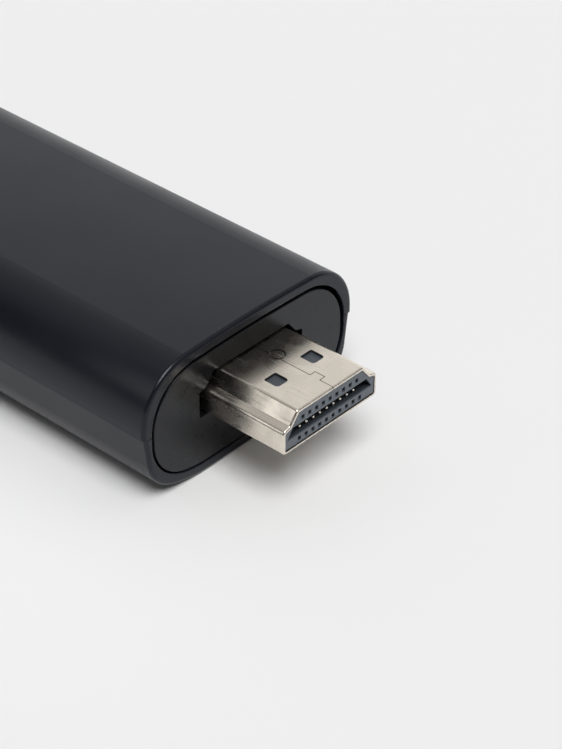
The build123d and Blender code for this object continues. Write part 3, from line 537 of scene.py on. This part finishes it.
class STICK_OT_board(bpy.types.Operator):
    """Finish the circuit boards: resist over copper tracks, and fibre at the cut edge"""

    bl_idname = "stick.board"
    bl_label = "Circuit boards"

    def execute(self, context):
        settings = context.scene.stick_inside
        weave_size = 0.3 * MM
        weave_depth = 0.004 * MM
        track_depth = 0.02 * MM
        face_roughness = 0.3
        edge_roughness = 0.7
        finish = Finish("board", settings.resist, face_roughness)
        tracks = finish.ramp(
            finish.cells(settings.track_pitch, distance="CHEBYCHEV"), 0.34, 0.4
        )
        weave = finish.noise(weave_size)
        face = finish.ramp(finish.maths("ABSOLUTE", finish.normal("Z")), 0.6, 0.8)
        resist = finish.blend(tracks, settings.resist, settings.track)
        resist = finish.blend(finish.maths("MULTIPLY", weave, 0.4), resist, settings.resist)
        fibre = finish.blend(weave, settings.fibre, shade_of(settings.fibre, 0.6))
        finish.colour(finish.blend(face, fibre, resist))
        finish.roughness(finish.ramp(face, 0.0, 1.0, edge_roughness, face_roughness))
        finish.relief((weave, weave_depth), (tracks, track_depth))
        finish.put_on("circuit_board", "radio_board")
        return {"FINISHED"}


class STICK_OT_chips(bpy.types.Operator):
    """Finish the chips: matt moulding with faint flow marks"""

    bl_idname = "stick.chips"
    bl_label = "Chips"

    def execute(self, context):
        settings = context.scene.stick_inside
        flow_size = 2.5 * MM
        grit_size = 0.05 * MM
        grit_depth = 0.003 * MM
        finish = Finish("chips", settings.chip, 0.55)
        flow = finish.noise(flow_size, 3.0)
        grit = finish.noise(grit_size, 3.0)
        finish.colour(finish.blend(flow, settings.chip, shade_of(settings.chip, 1.8)))
        finish.roughness(finish.vary(flow, 0.5, 0.62))
        finish.relief((grit, grit_depth))
        finish.put_on(
            "processor",
            "memory_chip_upper",
            "memory_chip_lower",
            "storage_chip",
            "power_chip",
            "surge_arrays",
        )
        return {"FINISHED"}


class STICK_OT_shields(bpy.types.Operator):
    """Finish the screening cans in tinned steel"""

    bl_idname = "stick.shields"
    bl_label = "Screening cans"

    def execute(self, context):
        settings = context.scene.stick_inside
        spangle_size = 1.4 * MM
        drawn_size = 0.2 * MM
        drawn_depth = 0.002 * MM
        finish = Finish("shield", settings.tin, 0.34, 1.0)
        spangle = finish.cells(spangle_size)
        drawn = finish.noise(drawn_size, 3.0, finish.stretched((0.08, 1.0, 1.0)))
        finish.colour(finish.blend(spangle, settings.tin, shade_of(settings.tin, 0.82)))
        finish.roughness(finish.ramp(spangle, 0.1, 0.8, 0.28, 0.42))
        finish.relief((drawn, drawn_depth))
        finish.put_on(
            "upper_shield_frame",
            "upper_shield_lid",
            "lower_shield_frame",
            "lower_shield_lid",
            "radio_cover",
        )
        return {"FINISHED"}


class STICK_OT_cooling(bpy.types.Operator):
    """Finish the aluminium heat spreaders and the soft pads"""

    bl_idname = "stick.cooling"
    bl_label = "Heat spreaders and pads"

    def execute(self, context):
        settings = context.scene.stick_inside
        rolled_size = 0.16 * MM
        rolled_depth = 0.003 * MM
        sheet_cloud_size = 6 * MM
        pore_size = 0.35 * MM
        pore_depth = 0.01 * MM
        pad_cloud_size = 1.6 * MM
        sheet = Finish("spreaders", settings.aluminium, 0.36, 1.0)
        rolled = sheet.noise(rolled_size, 4.0, sheet.stretched((0.04, 1.0, 1.0)))
        cloud = sheet.noise(sheet_cloud_size)
        sheet.colour(sheet.blend(cloud, settings.aluminium, shade_of(settings.aluminium, 0.86)))
        sheet.roughness(sheet.vary(rolled, 0.3, 0.44))
        sheet.relief((rolled, rolled_depth))
        sheet.put_on("upper_heat_spreader", "lower_heat_spreader")
        pad = Finish("thermal_pads", settings.pad, 0.75)
        pores = pad.ramp(pad.cells(pore_size), 0.0, 0.3)
        cloud = pad.noise(pad_cloud_size)
        pad.colour(pad.blend(cloud, settings.pad, shade_of(settings.pad, 0.75)))
        pad.roughness(pad.ramp(pores, 0.0, 1.0, 0.85, 0.68))
        pad.relief((pores, pore_depth))
        pad.put_on(
            "processor_thermal_pad",
            "storage_thermal_pad",
            "upper_thermal_pad",
            "lower_thermal_pad",
        )
        return {"FINISHED"}


class STICK_OT_power_socket(bpy.types.Operator):
    """Finish the power socket's steel shell and its moulded tongue"""

    bl_idname = "stick.power_socket"
    bl_label = "Power socket"

    def execute(self, context):
        settings = context.scene.stick_inside
        drawn_size = 0.12 * MM
        drawn_depth = 0.002 * MM
        cloud_size = 1.5 * MM
        grain_size = 0.06 * MM
        grain_depth = 0.001 * MM
        steel = Finish("socket_metal", settings.tin, 0.24, 1.0)
        drawn = steel.noise(drawn_size, 3.0, steel.stretched((1.0, 0.1, 1.0)))
        cloud = steel.noise(cloud_size)
        steel.colour(steel.blend(cloud, settings.tin, shade_of(settings.tin, 0.85)))
        steel.roughness(steel.vary(cloud, 0.2, 0.32))
        steel.relief((drawn, drawn_depth))
        steel.put_on("power_socket_shell")
        tongue = Finish("socket_moulding", settings.chip, 0.4)
        fine = tongue.noise(grain_size)
        tongue.colour(tongue.blend(fine, settings.chip, shade_of(settings.chip, 1.5)))
        tongue.roughness(tongue.vary(fine, 0.36, 0.46))
        tongue.relief((fine, grain_depth))
        tongue.put_on("power_socket_tongue")
        return {"FINISHED"}


def end_capped(name, body, node_name, share, roughness):
    """Small fired part along X: coloured body, and tinned ends over a share of its length."""
    grit_size = 0.08 * MM
    grit_depth = 0.002 * MM
    end_fade = 0.02 * MM
    tin_roughness = 0.3
    low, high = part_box(node_name)
    middle = (low.x + high.x) / 2
    end_start = (high.x - low.x) / 2 * (1 - share)
    finish = Finish(name, body, roughness)
    offset = finish.maths("ABSOLUTE", finish.maths("SUBTRACT", finish.axis("X"), middle))
    ends = finish.ramp(offset, end_start - end_fade, end_start)
    grit = finish.noise(grit_size, 3.0)
    body_mix = finish.blend(grit, body, shade_of(body, 0.75))
    finish.colour(finish.blend(ends, body_mix, TINNED_END))
    finish.metallic(ends)
    finish.roughness(finish.ramp(ends, 0.0, 1.0, roughness, tin_roughness))
    finish.relief((grit, grit_depth))
    finish.put_on(node_name)


class STICK_OT_small_parts(bpy.types.Operator):
    """Finish the small board parts: capacitors, resistors, inductors and crystals"""

    bl_idname = "stick.small_parts"
    bl_label = "Small board parts"

    def execute(self, context):
        end_capped("capacitors", FIRED_CERAMIC, "large_capacitors", 0.32, 0.45)
        end_capped("capacitors_small", FIRED_CERAMIC, "small_capacitors", 0.5, 0.45)
        end_capped("resistors", FIRED_FILM, "resistors", 0.45, 0.3)
        grit_size = 0.1 * MM
        grit_depth = 0.006 * MM
        lid_cloud_size = 0.6 * MM
        glaze_cloud_size = 0.4 * MM
        ripple_depth = 0.002 * MM
        ferrite = Finish("inductors", FERRITE, 0.6)
        grit = ferrite.noise(grit_size, 4.0)
        ferrite.colour(ferrite.blend(grit, FERRITE_DARK, FERRITE_PALE))
        ferrite.roughness(ferrite.vary(grit, 0.5, 0.7))
        ferrite.relief((grit, grit_depth))
        ferrite.put_on("power_inductors")
        lid = Finish("crystals", CRYSTAL_LID, 0.3, 1.0)
        cloud = lid.noise(lid_cloud_size, 3.0)
        lid.colour(lid.blend(cloud, CRYSTAL_LID, CRYSTAL_LID_DULL))
        lid.roughness(lid.vary(cloud, 0.24, 0.36))
        lid.relief((cloud, ripple_depth))
        lid.put_on("system_crystal", "radio_crystal")
        glaze = Finish("antennas", GLAZE, 0.3)
        fine = glaze.noise(glaze_cloud_size, 3.0)
        glaze.colour(glaze.blend(fine, GLAZE_PALE, GLAZE_DULL))
        glaze.roughness(glaze.vary(fine, 0.22, 0.4))
        glaze.relief((fine, ripple_depth))
        glaze.put_on("antenna_near", "antenna_far")
        return {"FINISHED"}


class STICK_OT_screws(bpy.types.Operator):
    """Finish the board's screws in zinc plate"""

    bl_idname = "stick.screws"
    bl_label = "Board screws"

    def execute(self, context):
        turned_size = 0.15 * MM
        turned_depth = 0.002 * MM
        finish = Finish("screws", ZINC, 0.28, 1.0)
        turned = finish.noise(turned_size, 3.0, finish.stretched((1.0, 1.0, 0.2)))
        finish.colour(finish.blend(turned, ZINC_PALE, ZINC_DULL))
        finish.roughness(finish.vary(turned, 0.22, 0.38))
        finish.relief((turned, turned_depth))
        finish.put_on("board_screws")
        return {"FINISHED"}


class STICK_OT_status_light(bpy.types.Operator):
    """Finish the status lamp and its clear pipe"""

    bl_idname = "stick.status_light"
    bl_label = "Status light"

    def execute(self, context):
        cloud_size = 0.3 * MM
        frost_size = 0.1 * MM
        ripple_depth = 0.001 * MM
        lamp = Finish("lamp", RESIN, 0.35)
        cloud = lamp.noise(cloud_size)
        lamp.colour(lamp.blend(cloud, RESIN_PALE, RESIN_DULL))
        lamp.roughness(lamp.vary(cloud, 0.3, 0.42))
        lamp.relief((cloud, ripple_depth))
        lamp.put_on("indicator_lamp")
        pipe = Finish("light_pipe", CLEAR, 0.12)
        pipe.shader.inputs["Transmission Weight"].default_value = CLEAR_SHARE
        pipe.shader.inputs["IOR"].default_value = CLEAR_IOR
        frost = pipe.noise(frost_size)
        pipe.roughness(pipe.vary(frost, 0.12, 0.22))
        pipe.relief((frost, ripple_depth))
        pipe.put_on("light_pipe")
        return {"FINISHED"}


def sky_light(settings):
    """World light: a white sweep behind the stick, a dim ceiling and a dark room before it."""
    world = bpy.data.worlds.new("studio")
    bpy.context.scene.world = world
    world.use_nodes = True
    tree = world.node_tree
    background = tree.nodes["Background"]
    place = tree.nodes.new("ShaderNodeTexCoord").outputs["Generated"]

    def toward(direction):
        """How far the view turns towards a direction, from -1 to 1."""
        dot = tree.nodes.new("ShaderNodeVectorMath")
        dot.operation = "DOT_PRODUCT"
        tree.links.new(place, dot.inputs[0])
        dot.inputs[1].default_value = Vector(direction).normalized()
        return dot.outputs["Value"]

    def step(value, low, high, at_low, at_high):
        """Carry low to high over to at_low to at_high, smoothly and held at both ends."""
        made = tree.nodes.new("ShaderNodeMapRange")
        made.interpolation_type = "SMOOTHSTEP"
        tree.links.new(value, made.inputs["Value"])
        for name, number in zip(
            ("From Min", "From Max", "To Min", "To Max"), (low, high, at_low, at_high)
        ):
            made.inputs[name].default_value = number
        return made.outputs["Result"]

    def combine(operation, first, second):
        """Arithmetic on two outputs."""
        made = tree.nodes.new("ShaderNodeMath")
        made.operation = operation
        tree.links.new(first, made.inputs[0])
        tree.links.new(second, made.inputs[1])
        return made.outputs[0]

    height = toward((0.0, 0.0, 1.0))
    path = tree.nodes.new("ShaderNodeLightPath").outputs
    mirrored = combine("ADD", path["Is Glossy Ray"], path["Is Transmission Ray"])
    seen = combine("ADD", path["Is Camera Ray"], mirrored)
    sweep = combine(
        "MULTIPLY",
        step(toward(TOWARD_SWEEP), *SWEEP_EDGE, 0.0, settings.sweep),
        step(height, *SWEEP_TOP, 1.0, 0.0),
    )
    sweep = combine("MULTIPLY", sweep, step(seen, 0.0, 1.0, settings.sweep_light, 1.0))
    ceiling = combine(
        "MULTIPLY",
        step(toward(TOWARD_CEILING), *CEILING_EDGE, 0.0, settings.ceiling),
        step(height, *CEILING_FOOT, 0.0, 1.0),
    )
    skirting = step(height, 0.0, SKIRTING_TOP, settings.skirting, settings.room)
    light = combine("MAXIMUM", combine("MAXIMUM", sweep, ceiling), skirting)
    tree.links.new(light, background.inputs["Strength"])
    background.inputs["Color"].default_value = (1.0, 1.0, 1.0, 1.0)


class STICK_OT_stage(bpy.types.Operator):
    """Set the pale floor, the soft light and the camera"""

    bl_idname = "stick.stage"
    bl_label = "Stage"

    def execute(self, context):
        settings = context.scene.stick_stage
        half = settings.floor_size / 2
        mesh = bpy.data.meshes.new("floor")
        mesh.from_pydata(
            [(-half, -half, 0), (half, -half, 0), (half, half, 0), (-half, half, 0)],
            [],
            [(0, 1, 2, 3)],
        )
        floor = bpy.data.objects.new("floor", mesh)
        context.scene.collection.objects.link(floor)
        paper = bpy.data.materials.new("floor")
        paper.use_nodes = True
        surface = paper.node_tree.nodes["Principled BSDF"]
        surface.inputs["Base Color"].default_value = (*settings.floor, 1.0)
        surface.inputs["Roughness"].default_value = 0.9
        surface.inputs["Specular IOR Level"].default_value = 0.1
        mesh.materials.append(paper)

        sky_light(settings)
        lamp = bpy.data.lights.new("key", "SUN")
        lamp.energy = settings.key
        lamp.angle = settings.key_spread
        key = bpy.data.objects.new("key", lamp)
        context.scene.collection.objects.link(key)
        toward_key = Vector(TOWARD_KEY)
        key.location = toward_key
        key.rotation_euler = toward_key.to_track_quat("Z", "Y").to_euler()

        toward_card = Vector(TOWARD_CARD)
        lamp = bpy.data.lights.new("card", "AREA")
        lamp.size = settings.card_size
        lamp.energy = settings.card * math.pi * settings.card_size**2
        card = bpy.data.objects.new("card", lamp)
        context.scene.collection.objects.link(card)
        card.location = Vector(PLUG_FOLD_MM) * MM + toward_card * settings.card_distance
        card.rotation_euler = toward_card.to_track_quat("Z", "Y").to_euler()
        card.visible_camera = False

        level = math.cos(CAMERA_RISE)
        back = Vector(
            (
                math.sin(CAMERA_TURN) * level,
                -math.cos(CAMERA_TURN) * level,
                math.sin(CAMERA_RISE),
            )
        )
        right = Vector((math.cos(CAMERA_TURN), math.sin(CAMERA_TURN), 0.0))
        up = back.cross(right)
        rolled_right = right * math.cos(CAMERA_ROLL) + up * math.sin(CAMERA_ROLL)
        rolled_up = up * math.cos(CAMERA_ROLL) - right * math.sin(CAMERA_ROLL)
        view = bpy.data.cameras.new("camera")
        view.lens = settings.lens
        view.sensor_width = SENSOR_WIDTH_MM
        view.clip_start = CAMERA_NEAR
        camera = bpy.data.objects.new("camera", view)
        context.scene.collection.objects.link(camera)
        basis = Matrix((rolled_right, rolled_up, back)).transposed().to_4x4()
        camera.matrix_world = Matrix.Translation(Vector(EYE_MM) * MM) @ basis
        context.scene.camera = camera
        context.scene.view_settings.view_transform = "Standard"
        return {"FINISHED"}


STEPS = (
    STICK_OT_casing,
    STICK_OT_end_plate,
    STICK_OT_plug,
    STICK_OT_plug_moulding,
    STICK_OT_contacts,
    STICK_OT_board,
    STICK_OT_chips,
    STICK_OT_shields,
    STICK_OT_cooling,
    STICK_OT_power_socket,
    STICK_OT_small_parts,
    STICK_OT_screws,
    STICK_OT_status_light,
    STICK_OT_stage,
)


class STICK_PT_panel(bpy.types.Panel):
    """Sizes, colours and steps of the streaming stick"""

    bl_idname = "STICK_PT_panel"
    bl_label = "Streaming stick"
    bl_space_type = "VIEW_3D"
    bl_region_type = "UI"
    bl_category = "Stick"

    def draw(self, context):
        for name in SETTINGS:
            group = getattr(context.scene, name)
            column = self.layout.column(align=True)
            for key in group.__annotations__:
                column.prop(group, key)
        column = self.layout.column(align=True)
        for step in STEPS:
            column.operator(step.bl_idname)


SETTINGS = {
    "stick_casing": StickCasingSettings,
    "stick_plug": StickPlugSettings,
    "stick_inside": StickInsideSettings,
    "stick_stage": StickStageSettings,
}
CLASSES = (*SETTINGS.values(), *STEPS, STICK_PT_panel)


def register():
    """Add the classes and the scene's settings."""
    for kind in CLASSES:
        bpy.utils.register_class(kind)
    for name, kind in SETTINGS.items():
        setattr(bpy.types.Scene, name, PointerProperty(type=kind))


def unregister():
    """Take them away again."""
    for name in SETTINGS:
        delattr(bpy.types.Scene, name)
    for kind in reversed(CLASSES):
        bpy.utils.unregister_class(kind)


def main():
    """Run every step in order."""
    register()
    for step in STEPS:
        group, name = step.bl_idname.split(".")
        getattr(getattr(bpy.ops, group), name)()


if __name__ == "__main__":
    main()
